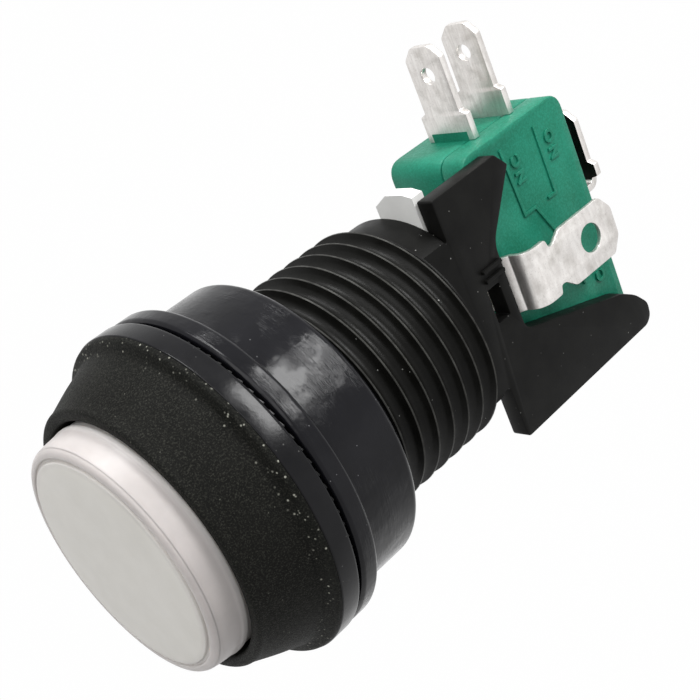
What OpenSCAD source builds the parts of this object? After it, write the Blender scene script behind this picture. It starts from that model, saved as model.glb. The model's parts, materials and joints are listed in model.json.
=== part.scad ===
// Illuminated arcade push button with a round screw-in housing, a lamp and a microswitch.
// Z is the button's axis and points at the user; z = 0 is the underside of the bezel,
// which lies on the control panel. Y is the microswitch's long side, X its thickness.

/* [Head] */
// Bezel diameter, mm
bezel_d = 33; // [32.6:0.2:34]
// Height of the bezel's lip above the panel, mm
bezel_h = 8.5; // [8.4:0.1:9.4]
// Height of the smooth rim under the bezel's bead, mm
rim_h = 2.1; // [1.9:0.1:2.3]
// Diameter of the lens cap at its foot, mm
cap_d = 23.6; // [23:0.1:23.8]
// Height of the lens cap's face above the lip, mm
cap_stand = 3; // [2.6:0.1:3.4]
// Full stroke of the button and of the switch pin, mm
stroke = 2; // [1.6:0.1:2]

/* [Barrel and nut] */
// Thread diameter over the crests, mm
thread_d = 24; // [23.8:0.1:24.2]
// Thread pitch, mm
pitch = 2.1; // [2:0.05:2.3]
// Barrel length behind the panel, mm
barrel_len = 28; // [27.5:0.5:31]
// Nut length with its flange, mm
nut_len = 9; // [7:0.5:11]
// Diameter of the nut's round body, mm
nut_d = 29.8; // [28.6:0.2:30.4]
// Thickness of the nut's flange, mm
nut_flange_t = 2; // [1.6:0.1:2.4]

/* [Microswitch] */
// Switch length, mm
switch_len = 27.8; // [27.6:0.1:28.2]
// Switch height from its pin side to its back, mm
switch_h = 15.9; // [15.7:0.1:16.2]
// Switch thickness, mm
switch_w = 10.3; // [10:0.1:10.6]
// Distance from the barrel's end to the switch, mm
switch_gap = 7; // [6.8:0.1:7.6]
// Height of the free pin above the switch, mm
pin_out = 2.5; // [2.4:0.1:3]

/* [Terminals] */
// Width of the switch tabs, mm
tab_w = 4.75; // [4.6:0.05:4.9]
// Sheet thickness of the switch tabs, mm
tab_t = 0.8; // [0.7:0.05:0.85]
// Length of the switch tabs outside the case, mm
tab_len = 10; // [9:0.5:12]
// Width of the lamp tabs, mm
lamp_tab_w = 6; // [5.8:0.1:6.3]
// Length of the lamp tabs beside the switch, mm
lamp_tab_len = 14; // [13:0.2:16]

/* [Lamp] */
// Diameter of the lamp's dome, mm
lamp_d = 8.8; // [8:0.2:10]
// Length of the lamp above its wedge, mm
lamp_len = 12.4; // [11:0.2:13]

/* [Hidden] */
$fn = 64;
eps = 0.01;
play = 0.02;

// head
bezel_r = bezel_d / 2;
bead_w = 1.2;
bead_h = 0.85;
cap_r = cap_d / 2;
mouth_r = cap_r + 0.3;
lip_r = 0.6;
cap_front = bezel_h + cap_stand;
cap_foot = bezel_h - 3.4;
cap_wall = 1.3;
cap_inner_r = cap_r - 0.2 - cap_wall;
seat_z = cap_foot - 1.2 - stroke - 0.3;

// barrel
thread_r = thread_d / 2;
root_r = thread_r - 1.05;
collar_r = thread_r - 0.9;
barrel_z = -barrel_len;
rear_z = barrel_z + 3.1;
thread_z = barrel_z - 0.3;
bore_r = root_r - 1.05;
ledge_top = -12;
ledge_bottom = -15;
ledge_r = bore_r - 1.4;

// wings that carry the switch
wing_t = 2.03;
wing_in = switch_w / 2 + play;
wing_out = wing_in + wing_t;
wing_y = sqrt(root_r * root_r - wing_out * wing_out) - 0.05;
wing_root = barrel_z + 8;
mid_z = barrel_z - 5.8;

// microswitch
sw_mid = -0.64;
sw_x = switch_w / 2;
sw_front = barrel_z - switch_gap;
sw_back = sw_front - switch_h;
sw_top = sw_mid + switch_len / 2;
sw_bottom = sw_mid - switch_len / 2;
sw_wall = 1.4;
part_x = 2.1;
pin_y = sw_mid - 5.9;
pin_r = 1.5;
pin_top = sw_front + pin_out;
hole_r = 1.55;
hole_in = 2.8;
hole_a = [sw_top - hole_in, sw_front - hole_in];
hole_b = [sw_bottom + hole_in, sw_back + hole_in];

// contact system inside the switch
nc_z = sw_front - switch_h / 3 + 0.03;
no_z = nc_z - switch_h / 3 - 0.3;
contact_y = sw_top - 4.66;
contact_r = 1.5;
contact_t = 1.3;
blade_t = 0.25;
roll_r = 0.3;
blade_z = nc_z - tab_t / 2 - contact_t - play - 0.7;
anchor_y = sw_bottom + 2.34;
com_y = sw_mid + 1.3;
foot_z = sw_back + hole_in + hole_r + 0.89 + tab_t + play;
tip_z = blade_z + 1.8;
com_tab_z = sw_back - 4;

// plunger and spring
flange_top = cap_foot - play;
flange_t = 1.18;
flange_bottom = flange_top - flange_t;
tube_r = ledge_r - 0.35;
tube_t = 1.2;
tube_end = ledge_bottom - 2;
leg_w = 4.8;
leg_in = 5.6;
leg_out = tube_r - 0.35;
wire_d = 0.7;
coil_r = (tube_r + bore_r) / 2;
coils = 6;

// lamp and holder
holder_top = tube_end - stroke - 1.2;
holder_x = wing_in - 0.15;
holder_r = bore_r - 0.15;
ear_y = thread_r + 1.37;
ear_t = 1.5;
ear_z = barrel_z - play - ear_t;
disc_r = bore_r + 0.3;
post_top = holder_top + 7;
wedge_y = 4.6;
wedge_x = 1.2;
strip_t = 0.5;
strip_x = 1.66;
strip_y = lamp_tab_w / 2 - 0.25;
strip_z = (mid_z + sw_front) / 2;
lamp_x = wing_out + 1.2;
lamp_bend = 1;
lamp_lean = 3;
lamp_knee_z = strip_z - lamp_bend + strip_t / 2;

// A (y, z) outline extruded along X from x0 to x1.
module slab(x0, x1) {
    translate([x0, 0, 0]) rotate([90, 0, 90]) linear_extrude(x1 - x0) children();
}

// A round bar on the Z axis from z0 to z1.
module bar(r, z0, z1) {
    translate([0, 0, z0]) cylinder(r = r, h = z1 - z0);
}

// A box between two opposite corners.
module box(a, b) {
    translate(a) cube(b - a);
}

// A box that is as wide on both sides of the YZ plane.
module wide_box(x, y0, y1, z0, z1) {
    box([-x, y0, z0], [x, y1, z1]);
}

// A rectangle with round corners, in the outline's own two axes.
module round_rect(a, b, r) {
    translate([a[0] + r, a[1]]) square([b[0] - a[0] - 2 * r, b[1] - a[1]]);
    translate([a[0], a[1] + r]) square([b[0] - a[0], b[1] - a[1] - 2 * r]);
    for (u = [a[0] + r, b[0] - r], v = [a[1] + r, b[1] - r]) {
        translate([u, v]) circle(r);
    }
}

// One pitch of the thread: [share of the pitch, share of the depth].
thread_shape = [[0, 1], [0.1, 1], [0.22, 0.33], [0.55, 0], [0.88, 0.33]];

// A helical ridge on a rod, closed by fans to two points of its axis.
// The ridge rises out of the rod over the first turn and sinks in the last.
module thread_rod(crest_r, root_r, z0, z1, widen) {
    steps = 30;
    per = len(thread_shape);
    turns = floor((z1 - z0) / pitch);
    rows = turns * per;
    function fade(k) = min(1, k / per, (rows + per - k) / per);
    function shift(j) = j == 0 ? -widen : j == 1 ? widen : j == 2 ? widen : j == 4 ? -widen : 0;
    function ring_r(k, i) = root_r
        + (crest_r - root_r) * thread_shape[k % per][1] * max(0, fade(k + per * i / steps - 0.5));
    function ring_z(k, i) = z0 + pitch * (floor(k / per) + thread_shape[k % per][0] + i / steps)
        + shift(k % per);
    function id(k, i) = i == steps ? (k + per) * steps : k * steps + i;
    points = concat(
        [for (k = [0:rows + per]) for (i = [0:steps - 1])
            [ring_r(k, i) * cos(360 * i / steps), ring_r(k, i) * sin(360 * i / steps), ring_z(k, i)]],
        [[0, 0, z0 - 0.2], [0, 0, z0 + (turns + 1) * pitch + 0.4]]
    );
    low = (rows + per + 1) * steps;
    high = low + 1;
    skin = [for (k = [0:rows - 1]) for (i = [0:steps - 1]) for (t = [0, 1])
        t == 0 ? [id(k, i), id(k + 1, i), id(k + 1, i + 1)]
               : [id(k, i), id(k + 1, i + 1), id(k, i + 1)]];
    caps = concat(
        [for (i = [0:steps - 1]) [low, id(0, i), id(0, i + 1)]],
        [for (k = [0:per - 1]) [low, id(k + 1, 0), id(k, 0)]],
        [for (i = [0:steps - 1]) [high, id(rows, i + 1), id(rows, i)]],
        [for (k = [0:per - 1]) [high, id(rows + k, 0), id(rows + k + 1, 0)]]
    );
    polyhedron(points = points, faces = concat(skin, caps), convexity = 10);
}

// The head's outline: cone, rounded lip, bead and smooth rim.
module bezel_outline() {
    lip_z = bezel_h - lip_r;
    polygon([
        [0, 0], [bezel_r - 0.3, 0], [bezel_r, 0.3], [bezel_r, rim_h],
        [bezel_r - 0.3 * bead_w, rim_h + bead_h / 2], [bezel_r - bead_w, rim_h + bead_h],
        [mouth_r + 2 * lip_r, lip_z], [mouth_r + lip_r, lip_z], [mouth_r + lip_r, bezel_h], [0, bezel_h]
    ]);
    translate([mouth_r + lip_r, lip_z]) circle(lip_r);
}

// One wing outline in (y, z): the low wing beside the switch's foot, and the web to the barrel.
module low_wing_outline() {
    low_y = sw_bottom + 0.45;
    polygon([
        [-wing_y, wing_root], [-wing_y, barrel_z - 1.05], [low_y + 0.3, barrel_z - 1.05],
        [low_y, barrel_z - 1.35], [low_y, sw_back + 0.3], [low_y + 0.7, sw_back - 0.6],
        [low_y + 2.6, sw_back - 0.8], [low_y + 4.3, sw_back + 0.6], [low_y + 5.6, sw_back + 2.6],
        [-4.4, mid_z], [4.6, mid_z], [6.6, wing_root]
    ]);
}

// The high wing at the blade end, on the near side only.
module high_wing_outline() {
    polygon([
        [4.6, mid_z + 0.2], [5.6, mid_z - 0.4], [sw_top - 2.3, sw_front - 3.9],
        [sw_top - 0.7, sw_front - 2.6], [sw_top - 0.75, barrel_z - 0.2],
        [wing_y, barrel_z - 0.2], [wing_y, wing_root], [4, wing_root], [4, mid_z + 0.2]
    ]);
}

module near_wing() {
    slab(wing_in, wing_out) {
        low_wing_outline();
        high_wing_outline();
    }
    // locating pips in the switch's mounting holes, and two small ribs on the outside
    for (p = [[hole_a, 1], [hole_b, hole_r - 0.15]]) {
        translate([wing_in + eps, p[0][0], p[0][1]]) rotate([0, -90, 0]) cylinder(r = p[1], h = 1.4);
    }
    for (y = [2.3, 3.3]) {
        box([wing_out - eps, y, mid_z + 0.2], [wing_out + 0.35, y + 0.4, mid_z + 3]);
    }
}

module far_wing() {
    slab(-wing_out, -wing_in) low_wing_outline();
    translate([-wing_in - eps, hole_b[0], hole_b[1]])
        rotate([0, 90, 0]) cylinder(r = hole_r - 0.15, h = 1.4);
}

module housing() {
    color([0.16, 0.16, 0.16]) difference() {
        union() {
            rotate_extrude() bezel_outline();
            intersection() {
                thread_rod(thread_r, root_r, thread_z, 0.8, 0);
                bar(thread_r + 1, rear_z, bezel_h);
            }
            bar(root_r - 0.25, rear_z + eps, 1);
            // behind the thread only the top of the barrel goes on, between the wings
            intersection() {
                bar(collar_r, barrel_z, rear_z + 0.5);
                wide_box(wing_out, 4, collar_r, barrel_z, rear_z + 0.5);
            }
            near_wing();
            far_wing();
        }
        bar(mouth_r, seat_z, bezel_h + 1);
        bar(bore_r, ledge_top, bezel_h);
        bar(ledge_r, ledge_bottom - 1, bezel_h);
        // the rear bore is flat on both sides, where the wings run into the barrel
        intersection() {
            bar(bore_r, barrel_z - 0.1, ledge_bottom);
            wide_box(wing_in, -bore_r - 1, bore_r + 1, barrel_z - 1, ledge_bottom);
        }
        bar(bore_r, wing_root, ledge_bottom);
        // cored underside of the bezel
        difference() {
            bar(bezel_r - 1.5, -1, 1);
            bar(thread_r + 0.9, -2, 2);
        }
        // snap window for the lamp holder
        for (s = [-1, 1]) {
            translate([s * (wing_in + wing_t / 2), -0.15, barrel_z - 3.6])
                cube([wing_t + 1, 3.5, 1.8], center = true);
        }
    }
}

module lock_washer() {
    color([0.08, 0.08, 0.08]) difference() {
        bar(nut_d / 2 + 0.9, -0.4, -play);
        bar(thread_r + 0.3, -1, 1);
    }
}

module panel_nut() {
    front = -0.42;
    back = front - nut_len;
    nut_r = nut_d / 2;
    color([0.17, 0.17, 0.19]) difference() {
        rotate_extrude() polygon([
            [0, front], [bezel_r - 0.4, front], [bezel_r - 0.1, front - 0.3],
            [bezel_r - 0.1, front - nut_flange_t + 0.3], [bezel_r - 0.4, front - nut_flange_t],
            [nut_r + 0.3, front - nut_flange_t], [nut_r, front - nut_flange_t - 0.4],
            [nut_r, back + 0.5], [nut_r - 0.5, back], [0, back]
        ]);
        thread_rod(thread_r + 0.22, root_r + 0.25, thread_z, 0.8 + 2 * pitch, 0.1);
        // lead-in at the back
        translate([0, 0, back - eps]) cylinder(r1 = thread_r + 0.7, r2 = thread_r - 0.5, h = 1.2);
    }
}

module lens_cap() {
    face_r = cap_r - 0.35;
    color([0.8, 0.79, 0.77]) difference() {
        rotate_extrude() polygon([
            [0, cap_foot], [cap_r - 0.1, cap_foot], [cap_r - 0.1, bezel_h - 0.2],
            [cap_r, bezel_h - 0.1], [cap_r, bezel_h + 0.1], [cap_r - 0.12, bezel_h + 0.22],
            [face_r, cap_front - 0.5], [face_r - 0.15, cap_front - 0.2], [face_r - 1, cap_front],
            [face_r - 1.3, cap_front - 0.05], [face_r - 4, cap_front + 0.1], [0, cap_front + 0.25]
        ]);
        bar(cap_inner_r, cap_foot - 1, cap_front - 1.6);
    }
}

module diffuser() {
    color([0.93, 0.93, 0.91]) bar(cap_inner_r - 0.05, cap_front - 2.5, cap_front - 1.6 - play);
}

module plunger() {
    color([0.92, 0.92, 0.9]) {
        difference() {
            union() {
                bar(cap_inner_r - 0.05, flange_bottom, cap_front - 2.5 - play);
                bar(cap_r - 0.3, flange_bottom, flange_top);
                bar(tube_r, tube_end, flange_bottom + eps);
                // snap lugs under the housing's ledge
                intersection() {
                    bar(ledge_r + 0.4, tube_end, ledge_bottom - 0.1);
                    wide_box(bore_r, -2, 2, tube_end, 0);
                }
            }
            bar(tube_r - tube_t, tube_end - 1, flange_bottom + 1);
            bar(cap_inner_r - 1.2, flange_bottom + 1, cap_front);
        }
        // leg to the switch pin
        wide_box(leg_w / 2, -leg_out, -leg_in, pin_top + 0.1, tube_end + 4);
    }
}

// A round wire on a helix about Z, closed by flat ends.
module coil(r, wire_r, z0, z1, turns) {
    steps = 22;
    sides = 6;
    count = turns * steps;
    low = z0 + wire_r;
    rise_z = z1 - z0 - 2 * wire_r;
    function centre_z(i) = low + rise_z * i / count;
    points = [for (i = [0:count]) for (s = [0:sides - 1]) let (
        a = 360 * i / steps,
        q = r + wire_r * cos(360 * s / sides)
    ) [q * cos(a), q * sin(a), centre_z(i) + wire_r * sin(360 * s / sides)]];
    skin = [for (i = [0:count - 1]) for (s = [0:sides - 1]) let (
        a = i * sides + s,
        b = i * sides + (s + 1) % sides
    ) each [[a, b + sides, b], [a, a + sides, b + sides]]];
    ends = [[for (s = [0:sides - 1]) s], [for (s = [sides - 1:-1:0]) count * sides + s]];
    polyhedron(points = points, faces = concat(skin, ends), convexity = 10);
}

module return_spring() {
    color([0.75, 0.75, 0.76])
        coil(coil_r, wire_d / 2, ledge_top + play, flange_bottom - play, coils);
}

module lamp_holder() {
    color([0.93, 0.93, 0.92]) difference() {
        union() {
            intersection() {
                bar(holder_r, barrel_z - play - eps, holder_top);
                wide_box(holder_x, -bore_r, bore_r, barrel_z - 1, holder_top);
            }
            // disc behind the barrel, with one ear to grip beside the high wing
            intersection() {
                bar(disc_r, ear_z, barrel_z - play);
                wide_box(holder_x, -disc_r, disc_r, ear_z, barrel_z - play);
            }
            translate([0, 0, ear_z]) linear_extrude(ear_t) polygon([
                [-0.3, disc_r - 2], [-0.3, ear_y - 1.1], [1.55, ear_y], [3.75, ear_y],
                [holder_x, ear_y - 0.35], [holder_x, disc_r - 2]
            ]);
            intersection() {
                bar(tube_r - tube_t - 0.4, holder_top - eps, post_top);
                wide_box(3.4, -5.4, 5.4, holder_top - eps, post_top);
            }
        }
        // pocket for the wedge, slots for the two strips and the way for the plunger's leg
        wide_box(wedge_x + 0.1, -wedge_y - 0.1, wedge_y + 0.1, holder_top + 0.4, post_top + 1);
        wide_box(strip_x + strip_t + 0.05, -strip_y - 0.05, strip_y + 0.05, holder_top + 0.4, post_top + 1);
        for (s = [-1, 1]) {
            translate([s * (strip_x + strip_t / 2), 0, barrel_z])
                cube([strip_t + 0.1, 2 * strip_y + 0.1, 40], center = true);
        }
        wide_box(leg_w / 2 + 0.4, -leg_out - 0.4, -leg_in + 0.4, barrel_z - 10, holder_top + 1);
        // nothing hangs out below the wings behind the barrel
        wide_box(holder_r + 1, -disc_r - 1, 0.4 - wing_y, barrel_z - 10, rear_z);
    }
}

module lamp_base() {
    color([0.9, 0.9, 0.88]) {
        wide_box(wedge_x, -wedge_y, wedge_y, holder_top + 0.45, post_top + 0.3);
        bar(lamp_d / 2 + 0.3, post_top + 0.25, post_top + 2.4);
    }
}

module lamp_dome() {
    dome_top = post_top + lamp_len;
    color([0.88, 0.9, 0.93]) difference() {
        union() {
            bar(lamp_d / 2, post_top + 2.4 + play, dome_top - lamp_d / 2);
            intersection() {
                translate([0, 0, dome_top - lamp_d / 2]) sphere(r = lamp_d / 2);
                bar(lamp_d, dome_top - lamp_d / 2 - eps, dome_top + 1);
            }
        }
        bar(lamp_d / 2 - 1, post_top + 2, dome_top - lamp_d / 2);
    }
}

module lamp_lead(s) {
    color([0.8, 0.8, 0.8]) translate([s * (wedge_x + 0.22), 0, 0])
        bar(0.2, holder_top + 0.6, post_top + 0.2);
}

module lamp_lead_near() {
    lamp_lead(1);
}

module lamp_lead_far() {
    lamp_lead(-1);
}

// The tab of a lamp terminal in (y, z): notched root, wide blade, cut corners.
// A lamp terminal seen from the side, as [y, z]: strip, notched neck and a tab with cut corners.
module lamp_tab_outline() {
    w = lamp_tab_w / 2;
    neck_z = lamp_knee_z - 4.7;
    tip_z = lamp_knee_z - lamp_tab_len;
    cut = 1.5;
    polygon([
        [-strip_y, post_top - 0.6], [-strip_y, neck_z + 0.5], [-strip_y + 0.7, neck_z],
        [-w, neck_z - 0.6], [-w, tip_z + cut], [-w + cut, tip_z], [w - cut, tip_z],
        [w, tip_z + cut], [w, neck_z - 0.6], [strip_y - 0.7, neck_z],
        [strip_y, neck_z + 0.5], [strip_y, post_top - 0.6]
    ]);
}

// The same terminal seen from its edge, as [x, z]: a strip in the post, out to the side,
// a bend, and the tab that leans a little away from the switch.
module lamp_strip_outline() {
    top = strip_z + strip_t / 2;
    turn = [90, 61, 32, lamp_lean];
    knee = [lamp_x - lamp_bend, lamp_knee_z];
    down = [sin(lamp_lean), -cos(lamp_lean)] * (lamp_tab_len + 1);
    function at(r, a) = knee + r * [cos(a), sin(a)];
    polygon(concat(
        [[strip_x, post_top - 0.6], [strip_x + strip_t, post_top - 0.6], [strip_x + strip_t, top]],
        [for (a = turn) at(lamp_bend, a)],
        [at(lamp_bend, lamp_lean) + down, at(lamp_bend - strip_t, lamp_lean) + down],
        [for (i = [len(turn) - 1:-1:0]) at(lamp_bend - strip_t, turn[i])],
        [[strip_x, top - strip_t]]
    ));
}

module lamp_terminal(s) {
    color([0.82, 0.81, 0.79]) mirror([s < 0 ? 1 : 0, 0, 0]) difference() {
        intersection() {
            slab(0, 2 * lamp_x) lamp_tab_outline();
            translate([0, lamp_tab_w, 0]) rotate([90, 0, 0])
                linear_extrude(2 * lamp_tab_w) lamp_strip_outline();
        }
        translate([lamp_x, 0, lamp_knee_z]) rotate([0, -lamp_lean, 0])
            translate([0, -0.3, 3.8 - lamp_tab_len]) rotate([0, 90, 0])
                cylinder(r = 1.5, h = 4, center = true);
    }
}

module lamp_terminal_near() {
    lamp_terminal(1);
}

module lamp_terminal_far() {
    lamp_terminal(-1);
}

// Everything both halves of the switch body share as cut-outs.
module switch_cuts() {
    for (p = [hole_a, hole_b]) {
        translate([0, p[0], p[1]]) rotate([0, 90, 0]) cylinder(r = hole_r, h = 20, center = true);
    }
    for (z = [nc_z, no_z]) {
        wide_box(tab_w / 2 + 0.05, sw_top - 3, sw_top + 1, z - tab_t / 2 - 0.02, z + tab_t / 2 + 0.02);
    }
    wide_box(tab_w / 2 + 0.05, com_y - tab_t / 2 - 0.02, com_y + tab_t / 2 + 0.02, sw_back - 1, sw_back + 3);
}

// One half of the body between two x planes: a walled tray with bosses round the holes.
module switch_half(x0, x1, f0, f1) {
    difference() {
        slab(x0, x1) difference() {
            round_rect([sw_bottom, sw_back], [sw_top, sw_front], 1.8);
        }
        difference() {
            slab(f0, f1) round_rect(
                [sw_bottom + sw_wall, sw_back + sw_wall], [sw_top - sw_wall, sw_front - sw_wall], 0.6);
            slab(x0 - 1, x1 + 1) for (p = [hole_a, hole_b]) {
                translate(p) circle(hole_r + 0.4);
            }
        }
        switch_cuts();
    }
}

module switch_case() {
    color([0.14, 0.51, 0.4]) difference() {
        switch_half(-sw_x, part_x, -sw_x + 1.2, part_x + 1);
        translate([0, pin_y, sw_front]) cylinder(r = pin_r + 0.08, h = 2 * sw_wall + 1, center = true);
    }
}

module switch_cover() {
    color([0.14, 0.51, 0.4]) switch_half(part_x + play, sw_x, part_x - 1, sw_x - 1.2);
}

module switch_pin() {
    shoulder = sw_front - sw_wall - 0.05;
    color([0.12, 0.12, 0.12]) translate([0, pin_y, 0]) {
        bar(pin_r, shoulder - eps, pin_top);
        bar(pin_r + 0.5, shoulder - 0.8, shoulder);
        bar(0.9, tip_z, shoulder - 0.8 + eps);
    }
}

module contact_blade() {
    color([0.8, 0.62, 0.35]) {
        difference() {
            wide_box(2.4, anchor_y, contact_y + 1.6, blade_z - blade_t / 2, blade_z + blade_t / 2);
            wide_box(1.7, pin_y - 4, pin_y + 4, blade_z - 1, blade_z + 1);
        }
        // rolled end that rocks on the upright
        translate([0, anchor_y, blade_z]) rotate([0, 90, 0]) cylinder(r = roll_r, h = 4.8, center = true);
    }
}

module moving_contact() {
    color([0.83, 0.82, 0.8]) translate([0, contact_y, 0]) {
        bar(1.3, blade_z + blade_t / 2, blade_z + 0.7);
        bar(1.3, blade_z - 0.7, blade_z - blade_t / 2);
    }
}

// The arched leaf under the pin, standing on the common terminal.
module snap_spring() {
    half = 3.2;
    top = tip_z - play;
    height = top - foot_z;
    arch_r = (half * half + height * height) / (2 * height);
    color([0.8, 0.62, 0.35]) intersection() {
        translate([0, pin_y, top - arch_r]) rotate([0, 90, 0]) difference() {
            cylinder(r = arch_r, h = 2.8, center = true);
            cylinder(r = arch_r - 0.25, h = 3.8, center = true);
        }
        wide_box(3, pin_y - 6, pin_y + 6, foot_z, top + 1);
    }
}

// A switch tab in its own plane: shoulder, blade and cut tip, with the wire hole.
module tab_outline(shoulder, length) {
    w = tab_w / 2;
    difference() {
        polygon([
            [-w, -4], [-w, play], [-w - 0.75, play], [-w - 0.75, shoulder], [-w, shoulder + 0.3],
            [-w, length - 1.2], [-w + 1.2, length], [w - 1.2, length], [w, length - 1.2],
            [w, shoulder + 0.3], [w + 0.75, shoulder], [w + 0.75, play], [w, play], [w, -4]
        ]);
        translate([0, length - 3]) circle(0.85);
    }
}

module end_terminal(z) {
    color([0.82, 0.81, 0.79]) {
        translate([0, sw_top, z - tab_t / 2]) linear_extrude(tab_t)
            tab_outline(2.8, tab_len);
        wide_box(tab_w / 2, contact_y - 2, sw_top - 3, z - tab_t / 2, z + tab_t / 2);
    }
}

module nc_terminal() {
    end_terminal(nc_z);
}

module no_terminal() {
    end_terminal(no_z);
}

module com_terminal() {
    low = com_y - tab_t / 2;
    high = com_y + tab_t / 2;
    plate = foot_z - play;
    color([0.82, 0.81, 0.79]) {
        // outside: the leg out of the case and the tab that runs back up beside it
        translate([0, low, com_tab_z - tab_t]) linear_extrude(tab_t) difference() {
            tab_outline(2.8, tab_len - 1);
            translate([0, -5]) square([20, 10], center = true);
        }
        wide_box(tab_w / 2, low, high, com_tab_z - tab_t / 2, plate);
        // inside: the plate under the blade and the upright that the blade hangs on
        wide_box(tab_w / 2, anchor_y - 0.4, high, plate - tab_t, plate);
        wide_box(tab_w / 2, anchor_y - 0.4, anchor_y + 0.4, plate - tab_t, blade_z - roll_r - 0.03);
    }
}

module nc_contact() {
    color([0.83, 0.82, 0.8]) translate([0, contact_y, 0])
        bar(contact_r, nc_z - tab_t / 2 - contact_t, nc_z - tab_t / 2);
}

module no_contact() {
    color([0.83, 0.82, 0.8]) translate([0, contact_y, 0])
        bar(contact_r, no_z + tab_t / 2, no_z + tab_t / 2 + contact_t);
}

housing();
lock_washer();
panel_nut();
lens_cap();
diffuser();
plunger();
return_spring();
lamp_holder();
lamp_base();
lamp_dome();
lamp_lead_near();
lamp_lead_far();
lamp_terminal_near();
lamp_terminal_far();
switch_case();
switch_cover();
switch_pin();
contact_blade();
moving_contact();
snap_spring();
com_terminal();
nc_terminal();
no_terminal();
nc_contact();
no_contact();
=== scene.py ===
import json
import math

import bmesh
import bpy
from mathutils import Matrix, Vector

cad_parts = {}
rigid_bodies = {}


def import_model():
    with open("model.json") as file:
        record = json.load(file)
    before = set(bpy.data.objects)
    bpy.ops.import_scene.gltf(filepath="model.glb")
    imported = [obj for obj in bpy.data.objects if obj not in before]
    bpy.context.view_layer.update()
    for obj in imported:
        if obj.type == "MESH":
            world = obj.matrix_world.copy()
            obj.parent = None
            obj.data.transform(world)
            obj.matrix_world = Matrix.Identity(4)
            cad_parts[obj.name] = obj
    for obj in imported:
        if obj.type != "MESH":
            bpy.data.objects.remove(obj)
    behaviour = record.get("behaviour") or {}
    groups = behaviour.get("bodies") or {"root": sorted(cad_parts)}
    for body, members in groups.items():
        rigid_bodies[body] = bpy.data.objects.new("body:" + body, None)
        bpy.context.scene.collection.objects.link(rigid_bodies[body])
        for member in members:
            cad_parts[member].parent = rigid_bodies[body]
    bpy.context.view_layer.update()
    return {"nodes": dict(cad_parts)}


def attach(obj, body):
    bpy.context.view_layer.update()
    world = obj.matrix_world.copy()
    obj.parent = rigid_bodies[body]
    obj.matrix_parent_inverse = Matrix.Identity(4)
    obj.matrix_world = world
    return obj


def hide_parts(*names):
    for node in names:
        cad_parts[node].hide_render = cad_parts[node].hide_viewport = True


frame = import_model()

MM = 0.001

# Sizes in mm. Most are shared with the CAD model.
BEZEL_R = 16.5
RIM_H = 2.1
LIP_H = 8.5
MOUTH_R = 12.1
SEAT_Z = 1.6
CREST_R = 12.0
ROOT_R = 10.95
COLLAR_R = 11.1
BORE_R = 9.9
BARREL_Z = -28.0
REAR_Z = -24.9
PITCH = 2.1
THREAD_START = -28.3
WING_IN = 5.17
WING_OUT = 7.2
WING_Y = 8.2
SWITCH_X = 5.15
PART_X = 2.1
SWITCH_LOW = (-14.54, -50.9)
SWITCH_HIGH = (13.26, -35.0)
HOLE_A = (10.46, -37.8)
HOLE_B = (-11.74, -48.1)
HOLE_R = 1.55
NC_Z = -40.27
NO_Z = -45.87
CORE_R = ROOT_R - 0.2
CASE_WALL = 1.2
TAB_HALF = 2.37
SHOULDER_HALF = 3.12
TAB_T = 0.8
TAB_HOLE_R = 0.85
SLOT_HALF = 2.42
LAMP_HOLE_R = 1.5
LINE_WIDTH = 0.34
FLOOR_Z = -0.8

CREASE = 34
CIRCLE_POINTS = 40


# Materials

def shader_node(tree, kind, settings=None, inputs=None):
    made = tree.nodes.new(kind)
    for key, value in (settings or {}).items():
        setattr(made, key, value)
    for key, value in (inputs or {}).items():
        socket = made.inputs[key]
        if isinstance(value, bpy.types.NodeSocket):
            tree.links.new(value, socket)
        else:
            socket.default_value = value
    return made


def new_finish(name):
    """A material with a Principled shader; returns it, its tree, the shader and the Object coordinates."""
    material = bpy.data.materials.new(name)
    material.use_nodes = True
    tree = material.node_tree
    shader = next(n for n in tree.nodes if n.type == "BSDF_PRINCIPLED")
    place = shader_node(tree, "ShaderNodeTexCoord").outputs["Object"]
    return material, tree, shader, place


def noise(tree, place, grain_mm, detail=3.0, roughness=0.55):
    """Noise whose grains are about grain_mm wide."""
    return shader_node(tree, "ShaderNodeTexNoise", None, {
        "Vector": place, "Scale": 1.0 / (grain_mm * MM), "Detail": detail, "Roughness": roughness,
    }).outputs["Fac"]


def spread(tree, value, low, high, to_low=0.0, to_high=1.0):
    """Stretches the part of a value between low and high over to_low..to_high."""
    return shader_node(tree, "ShaderNodeMapRange", None, {
        "Value": value, "From Min": low, "From Max": high, "To Min": to_low, "To Max": to_high,
    }).outputs["Result"]


def blend_colours(tree, amount, first, second):
    made = tree.nodes.new("ShaderNodeMix")
    made.data_type = "RGBA"
    for index, value in ((0, amount), (6, first), (7, second)):
        if isinstance(value, bpy.types.NodeSocket):
            tree.links.new(value, made.inputs[index])
        elif index:
            made.inputs[index].default_value = (*value, 1.0)
        else:
            made.inputs[index].default_value = value
    return made.outputs[2]


def bump(tree, height, depth_mm, strength=1.0):
    return shader_node(tree, "ShaderNodeBump", None, {
        "Height": height, "Distance": depth_mm * MM, "Strength": strength}).outputs["Normal"]


def maths(tree, operation, first, second=0.0):
    made = tree.nodes.new("ShaderNodeMath")
    made.operation = operation
    for index, value in ((0, first), (1, second)):
        if isinstance(value, bpy.types.NodeSocket):
            tree.links.new(value, made.inputs[index])
        else:
            made.inputs[index].default_value = value
    return made.outputs[0]


def from_axis(tree, place):
    """Distance from the Z axis, in mm."""
    flat = shader_node(tree, "ShaderNodeMapping", None, {
        "Vector": place, "Scale": (1000.0, 1000.0, 0.0)}).outputs["Vector"]
    return shader_node(tree, "ShaderNodeVectorMath", {"operation": "LENGTH"}, {0: flat}).outputs["Value"]


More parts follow.
